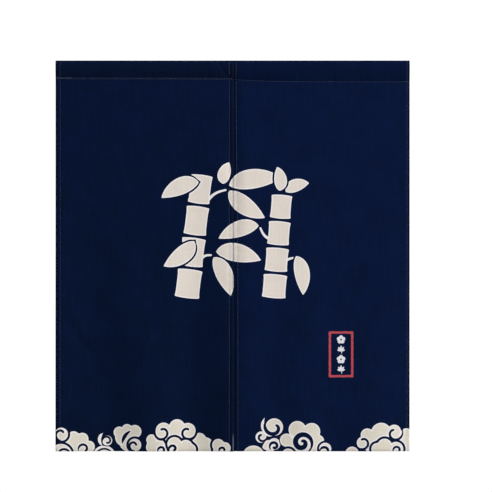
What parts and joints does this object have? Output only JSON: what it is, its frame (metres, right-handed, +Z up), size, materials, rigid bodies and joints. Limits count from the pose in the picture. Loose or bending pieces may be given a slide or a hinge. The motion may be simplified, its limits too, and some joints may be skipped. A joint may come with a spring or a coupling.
{
  "type": "noren curtain",
  "caption": "Short split cotton door curtain in navy with a pale cloud border, hung from sewn rod pockets along its top edge.",
  "frame": {"origin": "middle of the top edge, on the line that the rod pockets hang from", "axes": "+Z up, +X to the viewer's right, the printed face towards -Y"},
  "size_m": [0.815, 0.0161, 0.9],
  "materials": {
    "printed_cloth": "matt printed cotton",
    "pocket_cloth": "matt dyed cotton"
  },
  "bodies": {
    "root": {"panel_left": "printed_cloth", "panel_right": "printed_cloth", "heading_left": "pocket_cloth", "heading_right": "pocket_cloth"}
  },
  "joints": []
}
